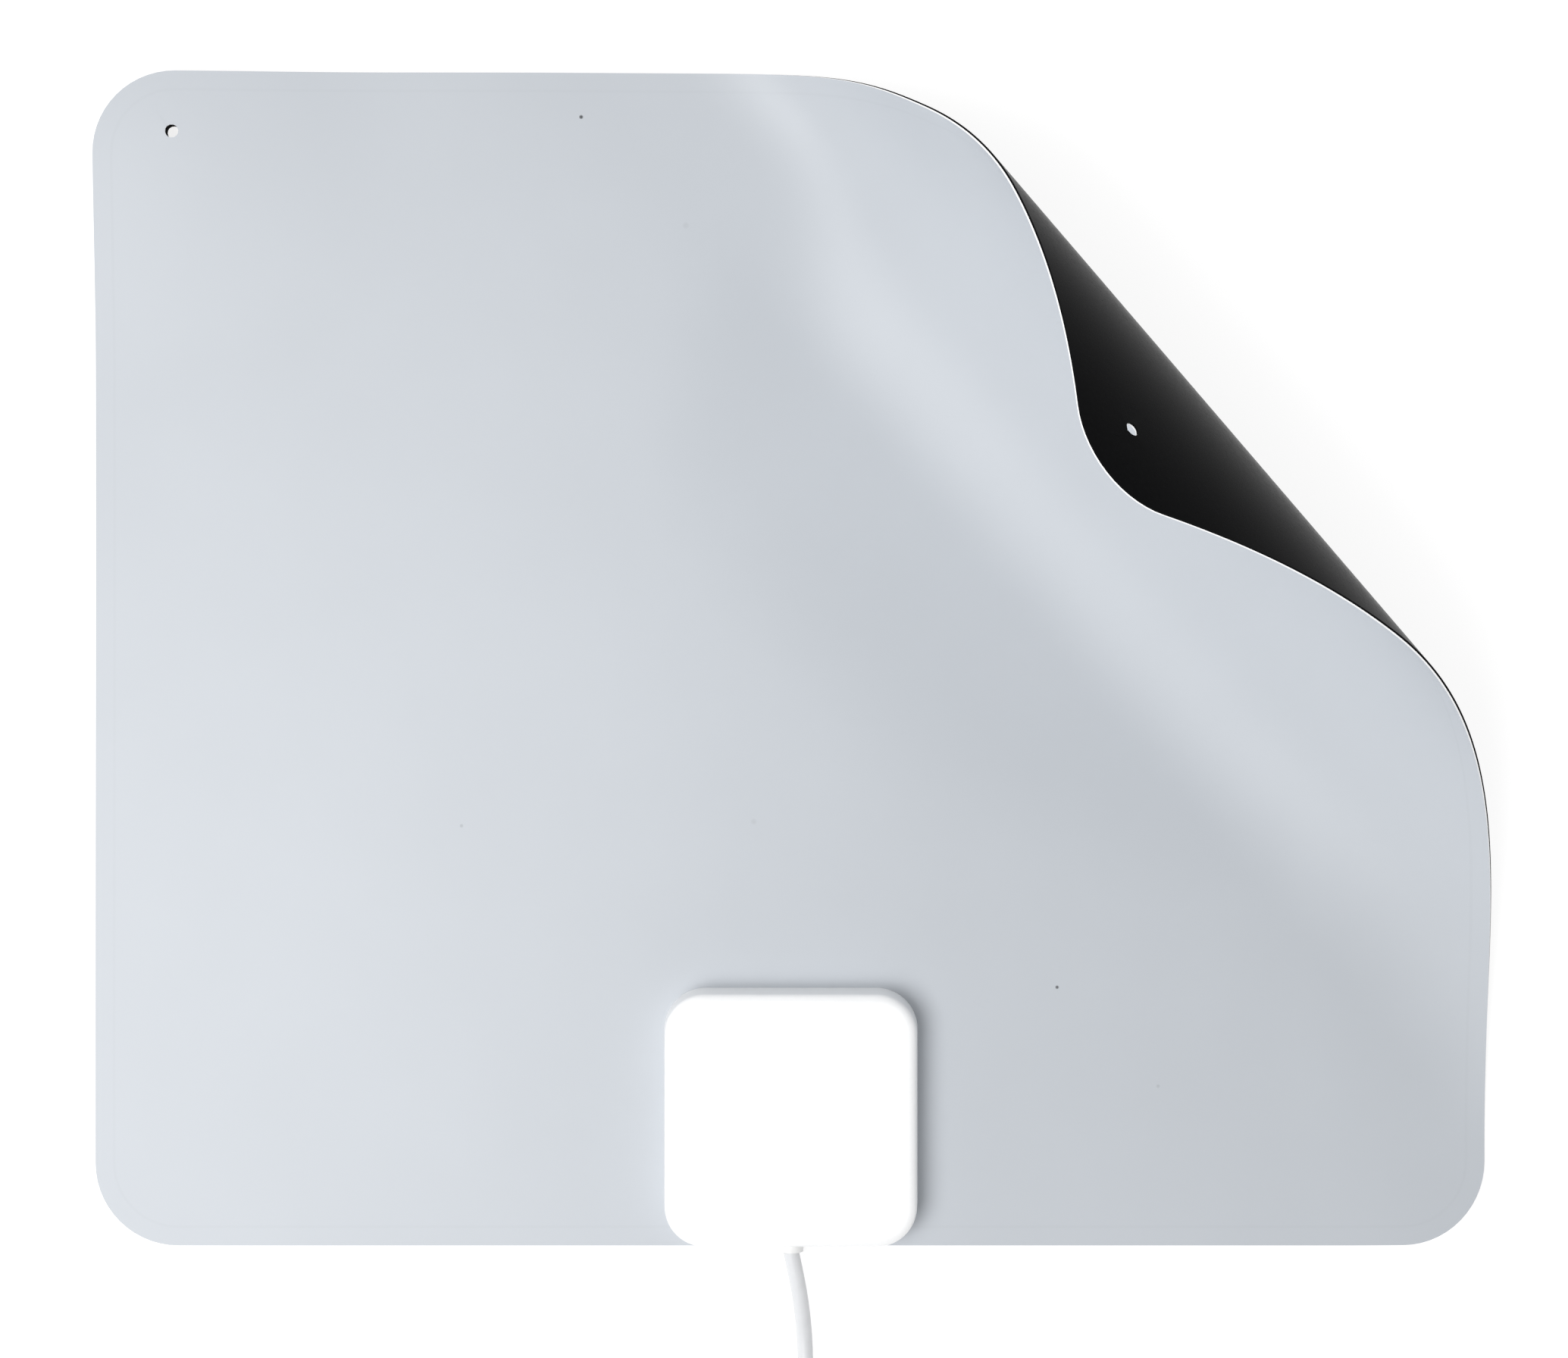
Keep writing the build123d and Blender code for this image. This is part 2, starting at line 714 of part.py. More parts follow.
# Hexagon nut that turns on the neck behind the flange
with BuildPart() as coupling_nut:
    nut_plane = Plane(origin=(plug_x + nut_start, plug_y, plug_z), x_dir=(0, 1, 0), z_dir=(1, 0, 0))
    with BuildSketch(nut_plane):
        RegularPolygon(nut_across_flats / 2, 6, major_radius=False)
    extrude(amount=nut_length)
    chamfer(coupling_nut.edges().filter_by(Axis.X, reverse=True), nut_edge)
    with BuildSketch(nut_plane):
        Circle(neck_radius + nut_gap)
    extrude(amount=nut_length, mode=Mode.SUBTRACT)
    with BuildSketch(nut_plane.offset(nut_lip)):
        Circle(nut_bore_radius)
    extrude(amount=nut_length - nut_lip, mode=Mode.SUBTRACT)
coupling_nut.part.label = "coupling_nut"
export_step(coupling_nut.part, "parts/coupling_nut.step")

for side in (-1, 1):
    hole_spot = film_plane(side * (film_width / 2 - pin_hole_from_side), film_height / 2 - pin_hole_from_top)
    print("pin hole", hole_spot.origin, hole_spot.z_dir)
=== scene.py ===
import math

import bmesh
import bpy
from mathutils import Matrix, Vector


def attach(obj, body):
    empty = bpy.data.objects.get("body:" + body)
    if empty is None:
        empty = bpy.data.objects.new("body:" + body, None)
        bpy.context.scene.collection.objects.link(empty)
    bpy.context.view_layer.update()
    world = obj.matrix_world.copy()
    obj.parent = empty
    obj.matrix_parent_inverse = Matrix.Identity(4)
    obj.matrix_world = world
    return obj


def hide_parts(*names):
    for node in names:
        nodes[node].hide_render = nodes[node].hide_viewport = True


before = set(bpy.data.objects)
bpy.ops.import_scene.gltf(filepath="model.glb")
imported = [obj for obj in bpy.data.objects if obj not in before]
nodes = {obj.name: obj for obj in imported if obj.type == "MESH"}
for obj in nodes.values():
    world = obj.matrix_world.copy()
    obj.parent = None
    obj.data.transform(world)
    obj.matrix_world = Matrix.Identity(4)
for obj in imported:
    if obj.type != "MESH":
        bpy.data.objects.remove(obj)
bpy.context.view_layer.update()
print("frame loaded with", len(nodes), "nodes")

scene = bpy.context.scene
scene.view_settings.view_transform = "Standard"
sharpAngle = math.radians(40)

# Sheet and roll, in metres, as in the CAD model
sheet = {
    "width": 0.336,
    "height": 0.2834,
    "corner": 0.020,
    "joint": 0.00285,  # level of the face where the two films meet
    "front": 0.00035,
    "back": 0.00045,
    "hole": 0.0016,
    "holeFromSide": 0.019,
    "holeFromTop": 0.0145,
    "holeShadeShift": (0.00055, -0.00045),  # the black film's left hole is shifted so a crescent of black film shows inside it: painted shade in the hole
    "holePatch": 0.0055,  # faces nearer than this are joined before a hole is punched
    "holeInset": 0.001,
    "columns": 156,
    "rows": 120,
    "cornerSteps": 14,
}
roll = {
    "heading": math.radians(40.6),
    "bendAbove": 0.0024,
    "arcs": ((0.070, math.radians(18.5)), (0.0536, math.radians(89.5)), (0.1124, math.radians(60))),
    "skew": 0.06,
}
halfWidth = sheet["width"] / 2
halfHeight = sheet["height"] / 2


def linkObject(name, data):
    made = bpy.data.objects.new(name, data)
    scene.collection.objects.link(made)
    return made


# Camera, straight above the sheet
cameraSet = {
    "place": (0.00298, 0.03105, sheet["joint"] + sheet["front"] + 0.7361),
    "sensor": 36,
    "lens": 69.95,
    "shift": (-0.0123, -0.0947),
    "clip": 0.01,
}
cameraData = bpy.data.cameras.new("camera")
cameraData.sensor_width = cameraSet["sensor"]
cameraData.lens = cameraSet["lens"]
cameraData.shift_x = cameraSet["shift"][0]
cameraData.shift_y = cameraSet["shift"][1]
cameraData.clip_start = cameraSet["clip"]
cameraObject = linkObject("camera", cameraData)
cameraObject.location = cameraSet["place"]
scene.camera = cameraObject

# Grain of the finishes
grainLook = {
    "detail": 4.0,
    "low": 0.3,  # the noise's values between low and high carry tone and gloss
    "high": 0.7,
    "glossSpread": 0.12,
    "depth": 0.0002,
}


def addMaterial(name, colour, roughness, metallic=0.0, specular=0.5):
    material = bpy.data.materials.new(name)
    material.use_nodes = True
    shader = material.node_tree.nodes["Principled BSDF"]
    shader.inputs["Base Color"].default_value = (*colour, 1)
    shader.inputs["Roughness"].default_value = roughness
    shader.inputs["Metallic"].default_value = metallic
    shader.inputs["Specular IOR Level"].default_value = specular
    return material


def addNoise(tree, place, scale, detail):
    noise = tree.nodes.new("ShaderNodeTexNoise")
    noise.inputs["Scale"].default_value = scale
    noise.inputs["Detail"].default_value = detail
    tree.links.new(place, noise.inputs["Vector"])
    return noise.outputs["Fac"]


def addBump(tree, height, strength):
    bump = tree.nodes.new("ShaderNodeBump")
    bump.inputs["Strength"].default_value = strength
    bump.inputs["Distance"].default_value = grainLook["depth"]
    tree.links.new(height, bump.inputs["Height"])
    tree.links.new(bump.outputs["Normal"], tree.nodes["Principled BSDF"].inputs["Normal"])


# A finish whose colour, gloss and relief vary a little with a grain
def addFinish(
    name,
    colour,
    roughness,
    metallic=0.0,
    grain=600.0,
    spread=0.03,
    relief=0.1,
    stretch=(1, 1, 1),
    specular=0.5,
):
    material = addMaterial(name, colour, roughness, metallic, specular)
    tree = material.node_tree
    shader = tree.nodes["Principled BSDF"]
    place = tree.nodes.new("ShaderNodeTexCoord")
    turn = tree.nodes.new("ShaderNodeMapping")
    turn.inputs["Scale"].default_value = stretch  # draws the grain out into brushing
    tree.links.new(place.outputs["Object"], turn.inputs["Vector"])
    noise = addNoise(tree, turn.outputs["Vector"], grain, grainLook["detail"])
    tone = tree.nodes.new("ShaderNodeValToRGB")
    dark, pale = tone.color_ramp.elements
    dark.position = grainLook["low"]
    dark.color = (*[channel * (1 - spread) for channel in colour], 1)
    pale.position = grainLook["high"]
    pale.color = (*[min(channel * (1 + spread), 1) for channel in colour], 1)
    gloss = tree.nodes.new("ShaderNodeMapRange")
    gloss.inputs["From Min"].default_value = grainLook["low"]
    gloss.inputs["From Max"].default_value = grainLook["high"]
    gloss.inputs["To Min"].default_value = roughness * (1 - grainLook["glossSpread"])
    gloss.inputs["To Max"].default_value = min(roughness * (1 + grainLook["glossSpread"]), 1)
    tree.links.new(noise, tone.inputs["Fac"])
    tree.links.new(noise, gloss.inputs["Value"])
    tree.links.new(tone.outputs["Color"], shader.inputs["Base Color"])
    tree.links.new(gloss.outputs["Result"], shader.inputs["Roughness"])
    addBump(tree, noise, relief)
    return material


def smooth(low, high, value):
    along = min(max((value - low) / (high - low), 0.0), 1.0)
    return along * along * (3 - 2 * along)


# Cord: the route from the grommet, the put-away turns, then the way to the plug
cord = {
    "diameter": 0.0038,
    "length": 1.82,
    "exit": (0.0, -0.1422, 0.0063),
    "lead": (
        (0.0, -0.1422, 0.0063),
        (0.0015, -0.1492, 0.0057),
        (0.0027, -0.1570, 0.0040),
        (0.0035, -0.1665, 0.0024),
        (0.0034, -0.1775, 0.0030),
        (0.0034, -0.1890, 0.0030),
        (0.0034, -0.1975, 0.0030),
    ),
    "tail": (
        (0.0400, -0.23465, 0.0144),
        (0.0481, -0.2345, 0.0144),
        (0.0576, -0.2339, 0.0142),
        (0.0690, -0.2328, 0.0094),
        (0.0810, -0.2320, 0.0064),
        (0.0910, -0.2320, 0.0064),
    ),
    "coilCentre": (0.0311, -0.206),
    "coilBase": 0.0011,
    "outerTurn": 0.0277,
    "layers": 4,
    "turnsPerLayer": 3,
    "lastTurn": 0.25,
    "climb": 0.3,  # share of a turn in which the lead climbs to the next layer
    "pointsPerTurn": 24,
    "roundSteps": 6,
    "alongSteps": 6,
}


# The turns of the coil, inwards and outwards by layers
def coilPoints():
    points = []
    pitch = cord["diameter"]
    perTurn = cord["pointsPerTurn"]
    perLayer = cord["turnsPerLayer"]
    total = cord["layers"] * perLayer + cord["lastTurn"]
    ease = 1 / math.cos(math.pi / perTurn)  # the curve runs inside its control points
    for step in range(int(total * perTurn) + 1):
        turns = step / perTurn
        layer = min(int(turns // perLayer), cord["layers"] - 1)
        done = turns - layer * perLayer
        inward = layer % 2 == 0
        radius = cord["outerTurn"] - pitch * (done if inward else perLayer - done)
        rise = 0.0
        for edge in range(1, cord["layers"]):
            rise += smooth(-cord["climb"] / 2, cord["climb"] / 2, turns - edge * perLayer)
        angle = math.pi + 2 * math.pi * turns
        points.append(
            (
                cord["coilCentre"][0] + radius * ease * math.cos(angle),
                cord["coilCentre"][1] + radius * ease * math.sin(angle),
                cord["coilBase"] + pitch * (0.5 + rise),
            )
        )
    return points


# Strap round the turns: a bevelled box with open ends, and its free end laid over the top
strap = {
    "angle": math.radians(40),
    "near": 0.0157,
    "far": 0.0283,
    "base": 0.0010,
    "top": 0.0164,
    "width": 0.0060,
    "thick": 0.0008,
    "corner": 0.0024,
    "cornerSteps": 6,
    "tongue": 0.0098,
    "tongueWidth": 0.00564,
    "tongueRise": 0.00116,
    "tongueSlide": 0.0012,
    "tongueCorner": 0.0022,
    "tongueSteps": 5,
}


def strapMesh():
    band = bmesh.new()
    bmesh.ops.create_cube(band, size=1.0)
    span = (strap["far"] - strap["near"], strap["width"], strap["top"] - strap["base"])
    bmesh.ops.scale(band, vec=span, verts=band.verts)
    runs = [
        edge
        for edge in band.edges
        if abs(edge.verts[0].co.y - edge.verts[1].co.y) > strap["width"] / 2
    ]
    bmesh.ops.bevel(
        band,
        geom=runs,
        offset=strap["corner"],
        affect="EDGES",
        segments=strap["cornerSteps"],
        profile=0.5,
        material=-1,
    )
    ends = [face for face in band.faces if abs(face.normal.y) > 0.9]
    bmesh.ops.delete(band, geom=ends, context="FACES")
    bmesh.ops.solidify(band, geom=band.faces[:], thickness=-strap["thick"])
    tongue = bmesh.ops.create_cube(band, size=1.0)["verts"]
    bmesh.ops.scale(band, vec=(strap["tongue"], strap["tongueWidth"], strap["thick"]), verts=tongue)
    lift = span[2] / 2 + strap["tongueRise"]
    bmesh.ops.translate(band, vec=(strap["tongueSlide"], 0, lift), verts=tongue)
    tips = [
        edge
        for edge in band.edges
        if edge.verts[0] in tongue and abs(edge.verts[0].co.z - edge.verts[1].co.z) > strap["thick"] / 2
    ]
    bmesh.ops.bevel(
        band,
        geom=tips,
        offset=strap["tongueCorner"],
        affect="EDGES",
        segments=strap["tongueSteps"],
        profile=0.5,
        material=-1,
    )
    bmesh.ops.recalc_face_normals(band, faces=band.faces)
    middle = (strap["near"] + strap["far"]) / 2
    place = Matrix.Translation(
        (
            cord["coilCentre"][0] + middle * math.cos(strap["angle"]),
            cord["coilCentre"][1] + middle * math.sin(strap["angle"]),
            (strap["base"] + strap["top"]) / 2,
        )
    )
    bmesh.ops.transform(band, matrix=place @ Matrix.Rotation(strap["angle"], 4, "Z"), verts=band.verts)
    mesh = bpy.data.meshes.new("coilStrap")
    band.to_mesh(mesh)
    band.free()
    mesh.shade_smooth()
    mesh.set_sharp_from_angle(angle=sharpAngle)
    return mesh


coilStrap = linkObject("coilStrap", strapMesh())
strapWeave = addFinish("strapWeave", (0.016, 0.016, 0.017), 0.75, grain=1400.0, spread=0.35, relief=0.5)
coilStrap.data.materials.append(strapWeave)
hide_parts("coil_tie")
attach(coilStrap, "antenna")
print("strap made")

cordCurve = bpy.data.curves.new("coaxLead", "CURVE")
cordCurve.dimensions = "3D"
cordCurve.bevel_depth = cord["diameter"] / 2
cordCurve.bevel_resolution = cord["roundSteps"]
cordCurve.resolution_u = cord["alongSteps"]
cordCurve.use_fill_caps = True
cordLine = cordCurve.splines.new("NURBS")
cordRoute = list(cord["lead"]) + coilPoints() + list(cord["tail"])
cordLine.points.add(len(cordRoute) - 1)
for point, place in zip(cordLine.points, cordRoute):
    point.co = (*place, 1)
cordLine.order_u = 3
cordLine.use_endpoint_u = True
coaxLead = linkObject("coaxLead", cordCurve)
jacket = addFinish("whiteJacket", (0.665, 0.675, 0.69), 0.42, grain=260.0, spread=0.02, relief=0.05)
cordCurve.materials.append(jacket)
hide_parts("coax_cable", "plug_lead", "cable_coil")
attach(coaxLead, "antenna")
print("lead laid with", len(cordRoute), "control points")

# Soft form of the sheet, which the CAD model leaves flat
softForm = {
    "foilReach": 0.125,  # the foil arms and the housing lie inside these, and keep the sheet flat
    "foilTop": -0.060,
    "foilFade": 0.05,
    "waves": ((0.00022, 17, 9, 0.6), (0.00016, -12, 31, 2.0)),  # depth, turns along x and y, phase
    "waveFade": 0.06,
    "cornerLift": 0.0042,
    "cornerReach": 0.075,
    "sagDepth": 0.0021,
    "sagHalf": 0.060,
    "sagPast": 0.004,  # how far the sag's middle lies past the bend line
    "sagTopShift": 0.040,  # and how much further near the top edge
    "sagTop": (0.040, 0.095),
    "lateShare": 0.85,
    "lateTop": (0.045, 0.100),
    "lateEnd": (0.020, 0.075),
}

# Directions of the roll on the flat sheet
travelX = math.cos(roll["heading"])
travelY = math.sin(roll["heading"])
bendStart = travelX * halfWidth + travelY * (-halfHeight + sheet["corner"] + roll["bendAbove"])


# Where a flat point lies in the roll's direction of travel, and along its axis
def rollPlace(x, y):
    return travelX * x + travelY * y, travelY * x - travelX * y


# How far a point is from the foil arms and the housing, from 0 to 1
def clearOfFoil(x, y):
    past = math.hypot(max(abs(x) - softForm["foilReach"], 0), max(y - softForm["foilTop"], 0))
    return smooth(0.0, softForm["foilFade"], past)


# Shallow sag along the foot of the roll
def sag(x, y):
    reach, along = rollPlace(x, y)
    shift = softForm["sagTopShift"] * smooth(*softForm["sagTop"], -along)
    offset = (reach - (bendStart + softForm["sagPast"] + shift)) / softForm["sagHalf"]
    if abs(offset) >= 1:
        return 0.0
    return softForm["sagDepth"] * clearOfFoil(x, y) * 0.5 * (1 + math.cos(math.pi * offset))


# Gentle unevenness of the sheet and its lifted top left corner, none in the roll
def sheetWave(x, y):
    reach = rollPlace(x, y)[0]
    calm = 1 - smooth(bendStart - softForm["waveFade"], bendStart, reach)
    wave = 0.0
    for depth, turnsX, turnsY, phase in softForm["waves"]:
        wave += depth * math.sin(turnsX * x + turnsY * y + phase)
    corner = smooth(softForm["cornerReach"], 0.0, math.hypot(x + halfWidth, y - halfHeight))
    return (wave * clearOfFoil(x, y) + softForm["cornerLift"] * corner) * calm


# Near the top edge the sheet stays flat for longer and then turns up more quickly
def lateBend(along, left):
    nearTop = smooth(*softForm["lateTop"], -along)
    return softForm["lateShare"] * nearTop * (1 - smooth(*softForm["lateEnd"], left))


# A point of the flat sheet, carried round the roll, at a lift from the joint of the two films
def rollPoint(x, y, lift):
    reach, along = rollPlace(x, y)
    left = reach - bendStart
    level = sheet["joint"] - sag(x, y)
    if left <= 0:
        return (x, y, level + lift + sheetWave(x, y))
    late = lateBend(along, left)
    across = bendStart
    height = 0.0
    turn = 0.0
    for radius, angle in roll["arcs"]:
        step = min(left, radius * angle)
        after = turn + step / radius
        across += radius * (math.sin(after) - math.sin(turn))
        height += radius * (math.cos(turn) - math.cos(after))
        turn = after
        left -= step
    along += roll["skew"] * height
    across -= lift * math.sin(turn)
    rolled = Vector(
        (
            across * travelX + along * travelY,
            across * travelY - along * travelX,
            level + height + lift * math.cos(turn),
        )
    )
    return rolled.lerp(Vector((x, y, level + lift)), late)


# Distance from the sheet's outline, zero on it and growing inwards
def edgeDistance(x, y):
    overX = abs(x) - (halfWidth - sheet["corner"])
    overY = abs(y) - (halfHeight - sheet["corner"])
    outside = math.hypot(max(overX, 0), max(overY, 0))
    return sheet["corner"] - outside - min(max(overX, overY), 0)


# Place of a flat point on the films' own map
def flatUv(x, y):
    return (x / sheet["width"] + 0.5, y / sheet["width"] + 0.5)


# Pin hole: the faces round it become one, which is inset, drawn into a circle and taken out
def punchHole(flat, x, y):
    near = []
    for face in flat.faces:
        middle = face.calc_center_median()
        if max(abs(middle.x - x), abs(middle.y - y)) < sheet["holePatch"]:
            near.append(face)
    joined = bmesh.ops.dissolve_faces(flat, faces=near)["region"][0]
    bmesh.ops.inset_individual(flat, faces=[joined], thickness=sheet["holeInset"])
    middle = Vector((x, y, 0))
    for vert in joined.verts:
        vert.co = middle + (vert.co - middle).normalized() * sheet["hole"]
    bmesh.ops.delete(flat, geom=[joined], context="FACES")


# Flat sheet from a grid whose outer columns follow the rounded corners, the left hole moved by the given
# offset, which lets the black film paint a crescent of shade in it
def flatSheet(shadeShift):
    columns = sheet["columns"]
    cornerSteps = sheet["cornerSteps"]
    straightSteps = columns - 2 * cornerSteps
    inner = halfWidth - sheet["corner"]
    flat = bmesh.new()
    bmesh.ops.create_grid(flat, x_segments=columns, y_segments=sheet["rows"], size=1.0)
    for vert in flat.verts:
        fromMiddle = abs(vert.co.x) * columns / 2 - straightSteps / 2
        turn = math.pi / 2 * max(fromMiddle, 0) / cornerSteps
        if fromMiddle > 0:
            out = inner + sheet["corner"] * math.sin(turn)
        else:
            out = inner * (1 + 2 * fromMiddle / straightSteps)
        vert.co.x = math.copysign(out, vert.co.x)
        vert.co.y *= halfHeight - sheet["corner"] * (1 - math.cos(turn))
    holeX = halfWidth - sheet["holeFromSide"]
    holeY = halfHeight - sheet["holeFromTop"]
    punchHole(flat, -holeX + shadeShift[0], holeY + shadeShift[1])
    punchHole(flat, holeX, holeY)
    return flat


# One film: the flat sheet given its thickness, then carried round the roll
def filmMesh(name, low, high, shadeShift=(0.0, 0.0)):
    film = flatSheet(shadeShift)
    bmesh.ops.recalc_face_normals(film, faces=film.faces)
    bmesh.ops.solidify(film, geom=film.faces[:], thickness=high - low)
    bmesh.ops.recalc_face_normals(film, faces=film.faces)
    lowest = min(vert.co.z for vert in film.verts)
    flatPlaces = film.loops.layers.uv.new("flatSheet")
    distances = film.verts.layers.float.new("edgeDistance")
    for face in film.faces:
        face.smooth = True
        face.material_index = 1 if abs(face.normal.z) < 0.5 else 0  # the cut rim gets a much paler finish than the face: a painted highlight along the edge
        for loop in face.loops:
            loop[flatPlaces].uv = flatUv(loop.vert.co.x, loop.vert.co.y)
    for vert in film.verts:
        vert[distances] = edgeDistance(vert.co.x, vert.co.y)
        vert.co = rollPoint(vert.co.x, vert.co.y, low + vert.co.z - lowest)
    mesh = bpy.data.meshes.new(name)
    film.to_mesh(mesh)
    film.free()
    mesh.set_sharp_from_angle(angle=sharpAngle)
    return mesh


# White film: satin, slightly clouded, with a faint seal line inside its border and a few specks
filmLook = {
    "colour": (0.500, 0.528, 0.564),
    "roughness": 0.45,
    "specular": 0.45,
    "sealUnit": 100.0,  # the seal's stops are in centimetres from the edge, each with its shade
    "sealStops": ((0.40, 1.0), (0.435, 0.98), (0.465, 0.98), (0.50, 1.0)),
    "cloudScale": 9.0,
    "cloudDetail": 4.0,
    "cloud": (0.975, 1.025),
    "specks": (  # place on the flat sheet, radius, and how pale it stays
        (-0.0507, 0.1310, 0.00045, 0.18),
        (0.0643, -0.0793, 0.00040, 0.25),
        (-0.0796, -0.0403, 0.00040, 0.80),
        (-0.0254, 0.1048, 0.00070, 0.93),
        (-0.0090, -0.0393, 0.00065, 0.92),
        (0.0887, -0.1032, 0.00040, 0.85),
    ),
    "speckFade": (0.6, 1.3),  # shares of the radius between which a speck fades
    "grain": 900.0,
    "grainDetail": 3.0,
    "relief": 0.06,
}
whiteFilm = addMaterial(
    "whiteFilm", filmLook["colour"], filmLook["roughness"], specular=filmLook["specular"]
)
filmTree = whiteFilm.node_tree
sealPlace = filmTree.nodes.new("ShaderNodeAttribute")
sealPlace.attribute_name = "edgeDistance"
sealScale = filmTree.nodes.new("ShaderNodeMath")
sealScale.operation = "MULTIPLY"
sealScale.inputs[1].default_value = filmLook["sealUnit"]
sealRamp = filmTree.nodes.new("ShaderNodeValToRGB")
sealRamp.color_ramp.interpolation = "EASE"
while len(sealRamp.color_ramp.elements) < len(filmLook["sealStops"]):
    sealRamp.color_ramp.elements.new(0.5)
for stop, (place, share) in zip(sealRamp.color_ramp.elements, filmLook["sealStops"]):
    stop.position = place
    stop.color = (*[channel * share for channel in filmLook["colour"]], 1)
filmTree.links.new(sealPlace.outputs["Fac"], sealScale.inputs[0])
filmTree.links.new(sealScale.outputs[0], sealRamp.inputs["Fac"])

flatPlace = filmTree.nodes.new("ShaderNodeUVMap")
flatPlace.uv_map = "flatSheet"
cloud = addNoise(filmTree, flatPlace.outputs["UV"], filmLook["cloudScale"], filmLook["cloudDetail"])
cloudRange = filmTree.nodes.new("ShaderNodeMapRange")
cloudRange.inputs["To Min"].default_value = filmLook["cloud"][0]
cloudRange.inputs["To Max"].default_value = filmLook["cloud"][1]
filmTree.links.new(cloud, cloudRange.inputs["Value"])
shade = cloudRange.outputs["Result"]
for x, y, radius, pale in filmLook["specks"]:
    away = filmTree.nodes.new("ShaderNodeVectorMath")
    away.operation = "DISTANCE"
    away.inputs[1].default_value = (*flatUv(x, y), 0)
    fade = filmTree.nodes.new("ShaderNodeMapRange")
    fade.inputs["From Min"].default_value = filmLook["speckFade"][0] * radius / sheet["width"]
    fade.inputs["From Max"].default_value = filmLook["speckFade"][1] * radius / sheet["width"]
    fade.inputs["To Min"].default_value = pale
    join = filmTree.nodes.new("ShaderNodeMath")
    join.operation = "MULTIPLY"
    filmTree.links.new(flatPlace.outputs["UV"], away.inputs[0])
    filmTree.links.new(away.outputs["Value"], fade.inputs["Value"])
    filmTree.links.new(shade, join.inputs[0])
    filmTree.links.new(fade.outputs["Result"], join.inputs[1])
    shade = join.outputs[0]
tint = filmTree.nodes.new("ShaderNodeVectorMath")
tint.operation = "SCALE"
filmTree.links.new(sealRamp.outputs["Color"], tint.inputs[0])
filmTree.links.new(shade, tint.inputs["Scale"])
filmTree.links.new(tint.outputs["Vector"], filmTree.nodes["Principled BSDF"].inputs["Base Color"])
filmPlace = filmTree.nodes.new("ShaderNodeTexCoord")
filmGrain = addNoise(filmTree, filmPlace.outputs["Object"], filmLook["grain"], filmLook["grainDetail"])
addBump(filmTree, filmGrain, filmLook["relief"])

frontFilm = linkObject("frontFilm", filmMesh("frontFilm", 0.0, sheet["front"]))
frontFilm.data.materials.append(whiteFilm)
# the rim's finish is painted far paler than the film's face: a painted highlight along the cut edge
frontFilm.data.materials.append(addFinish("filmRimHighlight", (0.93, 0.935, 0.94), 0.5, spread=0.02))
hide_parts("front_film")
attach(frontFilm, "antenna")

# Black film on the reverse, black at its rim too
blackFilm = addFinish(
    "blackFilm", (0.0038, 0.0039, 0.0042), 0.26, grain=900.0, spread=0.1, relief=0.05, specular=0.011
)
# its left hole is shifted so a crescent of black film shows as painted shade inside the hole
backFilm = linkObject("backFilm", filmMesh("backFilm", -sheet["back"], 0.0, sheet["holeShadeShift"]))
backFilm.data.materials.append(blackFilm)
backFilm.data.materials.append(blackFilm)
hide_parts("back_film")
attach(backFilm, "antenna")
print("films rolled", len(frontFilm.data.vertices), "points each")

# Finishes of the CAD pieces
whiteShell = addFinish("whiteShell", (0.88, 0.885, 0.89), 0.38, grain=1500.0, spread=0.008, relief=0.05)
blackShell = addFinish("blackShell", (0.012, 0.012, 0.0125), 0.5, grain=1700.0, spread=0.15, relief=0.45)
screwSteel = addFinish("screwSteel", (0.10, 0.10, 0.105), 0.35, 1.0, grain=900.0, spread=0.12)
thinFoil = addFinish("thinFoil", (0.75, 0.76, 0.77), 0.3, 1.0, grain=90.0, stretch=(1, 12, 1))
boardMask = addFinish("boardMask", (0.02, 0.16, 0.05), 0.4, grain=500.0, spread=0.15)
ferrite = addFinish("ferrite", (0.03, 0.03, 0.032), 0.65, grain=2500.0, spread=0.3, relief=0.3)
copperWire = addFinish("copperWire", (0.72, 0.34, 0.17), 0.28, 1.0, grain=1200.0, spread=0.06, relief=0.05)
springBrass = addFinish("springBrass", (0.75, 0.55, 0.25), 0.3, 1.0, grain=300.0, stretch=(1, 8, 1))
softWhite = addFinish("softWhite", (0.79, 0.79, 0.785), 0.5, grain=900.0, spread=0.012, relief=0.12)
clearCore = addFinish("clearCore", (0.85, 0.85, 0.82), 0.4, grain=700.0, spread=0.02)
tinnedBraid = addFinish("tinnedBraid", (0.65, 0.65, 0.63), 0.35, 1.0, grain=2200.0, spread=0.2, relief=0.6)
nickel = addFinish("nickel", (0.58, 0.57, 0.545), 0.24, 1.0, grain=160.0, relief=0.04, stretch=(14, 1, 1))
finishes = {
    "front_cover": whiteShell,
    "rear_cover": blackShell,
    "cover_screws": screwSteel,
    "left_antenna_foil": thinFoil,
    "right_antenna_foil": thinFoil,
    "circuit_board": boardMask,
    "left_contact": springBrass,
    "right_contact": springBrass,
    "balun_core": ferrite,
    "balun_windings": copperWire,
    "cable_grommet": softWhite,
    "coax_end": jacket,
    "coax_dielectric": clearCore,
    "coax_conductor": copperWire,
    "braid_tail": tinnedBraid,
    "plug_boot": softWhite,
    "plug_body": nickel,
    "plug_insulator": clearCore,
    "plug_pin": copperWire,
    "coupling_nut": nickel,
}
for name, finish in finishes.items():
    for slot in nodes[name].material_slots:
        slot.link = "OBJECT"
        slot.material = finish
print("finishes set")

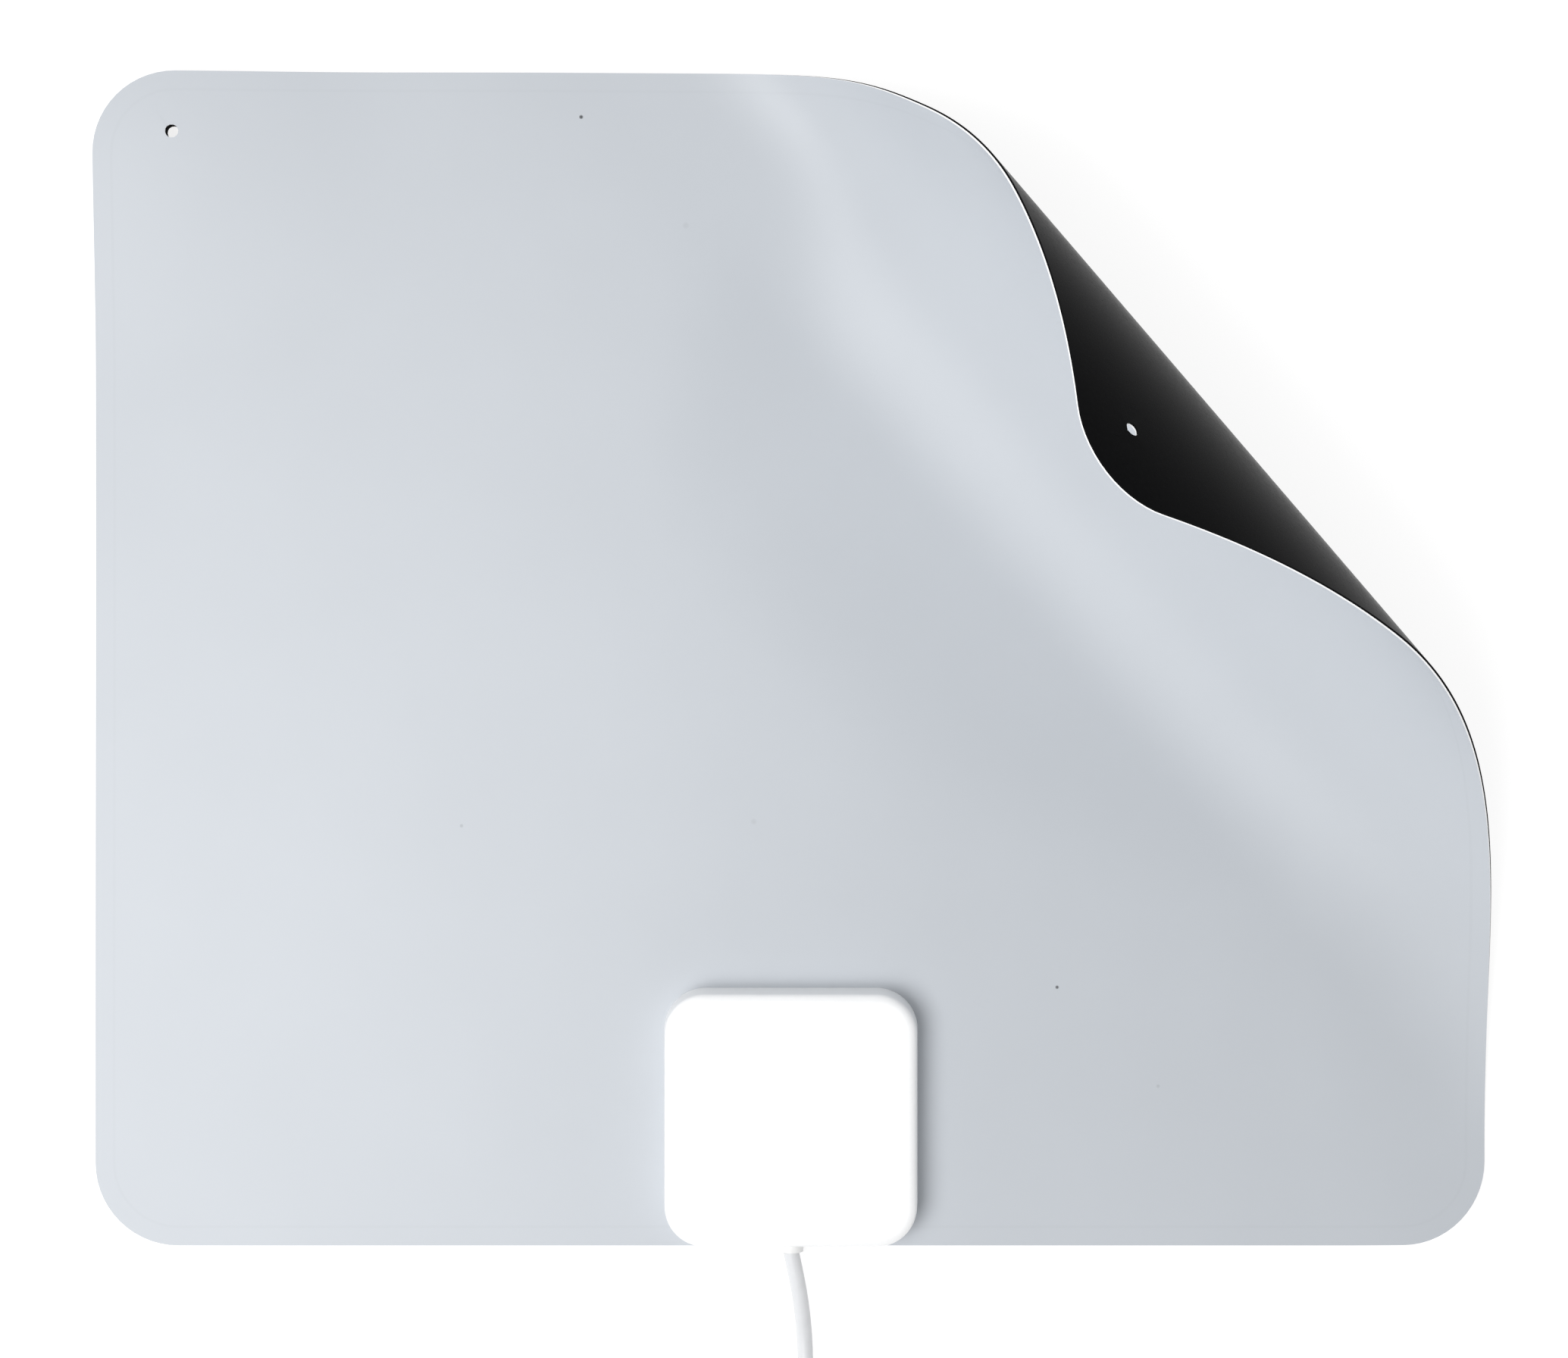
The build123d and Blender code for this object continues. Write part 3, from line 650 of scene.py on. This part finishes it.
# Pale floor that sweeps up into a wall all round
backdrop = {
    "floorRadius": 3.0,
    "sweep": 1.2,
    "sweepStep": 10,
    "height": 1.6,
    "drop": 0.0002,  # how far the floor lies below the part
    "sides": 72,
    "colour": (0.35, 0.35, 0.35),
    "glow": 0.82,
}
sweepLine = bmesh.new()
lineEnd = sweepLine.verts.new((0, 0, -backdrop["drop"]))
for degrees in range(0, 91, backdrop["sweepStep"]):
    turn = math.radians(degrees)
    out = backdrop["floorRadius"] + backdrop["sweep"] * math.sin(turn)
    rise = backdrop["sweep"] * (1 - math.cos(turn)) - backdrop["drop"]
    nextEnd = sweepLine.verts.new((out, 0, rise))
    sweepLine.edges.new((lineEnd, nextEnd))
    lineEnd = nextEnd
top = sweepLine.verts.new((lineEnd.co.x, 0, backdrop["height"]))
sweepLine.edges.new((lineEnd, top))
bmesh.ops.spin(
    sweepLine,
    geom=sweepLine.verts[:] + sweepLine.edges[:],
    cent=(0, 0, 0),
    axis=(0, 0, 1),
    angle=2 * math.pi,
    steps=backdrop["sides"],
    use_merge=True,
)
bmesh.ops.remove_doubles(sweepLine, verts=sweepLine.verts, dist=0.0001)
bmesh.ops.recalc_face_normals(sweepLine, faces=sweepLine.faces)
floorFace = min(sweepLine.faces, key=lambda face: face.calc_center_median().length)
if floorFace.normal.z < 0:
    bmesh.ops.reverse_faces(sweepLine, faces=sweepLine.faces)
floorMesh = bpy.data.meshes.new("floor")
sweepLine.to_mesh(floorMesh)
sweepLine.free()
floorMesh.shade_smooth()
floor = linkObject("floor", floorMesh)
paleFloor = addMaterial("paleFloor", backdrop["colour"], 0.9, specular=0.1)
floorShader = paleFloor.node_tree.nodes["Principled BSDF"]
floorShader.inputs["Emission Color"].default_value = (1, 1, 1, 1)
floorShader.inputs["Emission Strength"].default_value = backdrop["glow"]
floorMesh.materials.append(paleFloor)

# Soft light: an even sky, and square lamps that face the middle of the sheet
studio = {
    "sky": 0.37,
    "lamps": {
        "key": {"place": (-0.40, -0.32, 0.95), "size": 0.6, "power": 4.4},
        "left": {"place": (-0.42, -0.10, 0.90), "size": 0.6, "power": 4.3},
        "side": {"place": (0.35, 1.05, 0.45), "size": 1.0, "power": 2.6},
    },
}
world = bpy.data.worlds.new("studio")
scene.world = world
world.use_nodes = True
skyShader = world.node_tree.nodes["Background"]
skyShader.inputs["Color"].default_value = (1, 1, 1, 1)
skyShader.inputs["Strength"].default_value = studio["sky"]
for name, look in studio["lamps"].items():
    light = bpy.data.lights.new(name, "AREA")
    light.shape = "SQUARE"
    light.size = look["size"]
    light.energy = look["power"]
    lamp = linkObject(name, light)
    lamp.location = look["place"]
    lamp.visible_camera = False
    lamp.rotation_euler = (-Vector(look["place"])).to_track_quat("-Z", "Y").to_euler()
print("floor and lights set")
